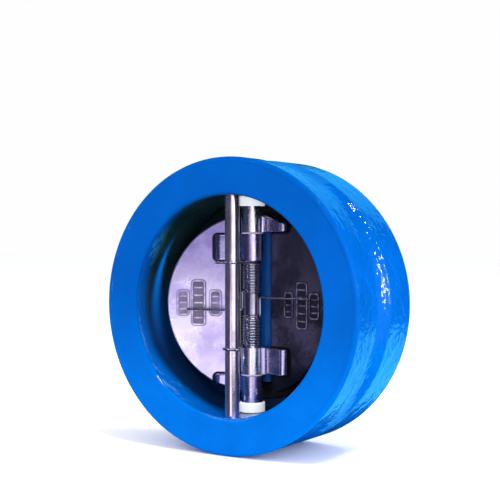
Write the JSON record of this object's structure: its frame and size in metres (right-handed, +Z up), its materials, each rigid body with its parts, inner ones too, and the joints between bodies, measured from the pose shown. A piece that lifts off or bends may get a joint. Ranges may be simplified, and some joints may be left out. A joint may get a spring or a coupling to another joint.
{
  "type": "wafer check valve",
  "caption": "Dual-plate wafer check valve: painted ring body, two spring-closed half-disc plates on a hinge pin behind a stop pin, rubber seat.",
  "frame": {"origin": "middle of the body ring, on the flow axis, halfway between the two gasket faces", "axes": "+Z up along the hinge pin, +Y along the flow axis towards the inlet face (flow leaves at -Y), +X to the right seen from the outlet"},
  "size_m": [0.162, 0.064, 0.162],
  "materials": {
    "painted_body": "thick glossy blue enamel on cast iron",
    "rubber": "black moulded EPDM",
    "left_plate_steel": "cast and blasted stainless steel",
    "right_plate_steel": "cast and blasted stainless steel",
    "pin_steel": "ground and polished stainless steel",
    "sleeve_steel": "turned stainless steel",
    "spring_steel": "drawn spring wire",
    "white_ptfe": "white PTFE",
    "plate_bearing": "off-white PTFE",
    "plug_steel": "zinc-plated steel",
    "plug_seal": "fibre-filled rubber"
  },
  "bodies": {
    "root": {"valve_body": "painted_body", "rubber_seat": "rubber", "hinge_pin": "pin_steel", "stop_pin": "pin_steel", "spring_sleeve": "sleeve_steel", "upper_body_bearing": "white_ptfe", "lower_body_bearing": "white_ptfe", "upper_plate_bearing": "plate_bearing", "lower_plate_bearing": "plate_bearing", "upper_hinge_plug_seal": "plug_seal", "lower_hinge_plug_seal": "plug_seal", "upper_stop_plug_seal": "plug_seal", "lower_stop_plug_seal": "plug_seal", "upper_hinge_pin_plug": "plug_steel", "lower_hinge_pin_plug": "plug_steel", "upper_stop_pin_plug": "plug_steel", "lower_stop_pin_plug": "plug_steel", "lower_spring": "spring_steel", "upper_spring": "spring_steel"},
    "right_plate_body": {"right_plate": "right_plate_steel", "lower_spring_leg": "spring_steel"},
    "left_plate_body": {"left_plate": "left_plate_steel", "upper_spring_leg": "spring_steel"}
  },
  "joints": [
    {"name": "left_plate_hinge", "type": "hinge", "parent": "root", "child": "left_plate_body", "pos_m": [0, -0.003, 0], "axis": [0, 0, 1], "range_deg": [-22.3, 59.7], "stiffness_Nm_per_rad": 0.12, "springref_deg": -114.59},
    {"name": "right_plate_hinge", "type": "hinge", "parent": "root", "child": "right_plate_body", "pos_m": [0, -0.003, 0], "axis": [0, 0, -1], "range_deg": [-13.4, 68.6], "stiffness_Nm_per_rad": 0.12, "springref_deg": -114.59}
  ]
}
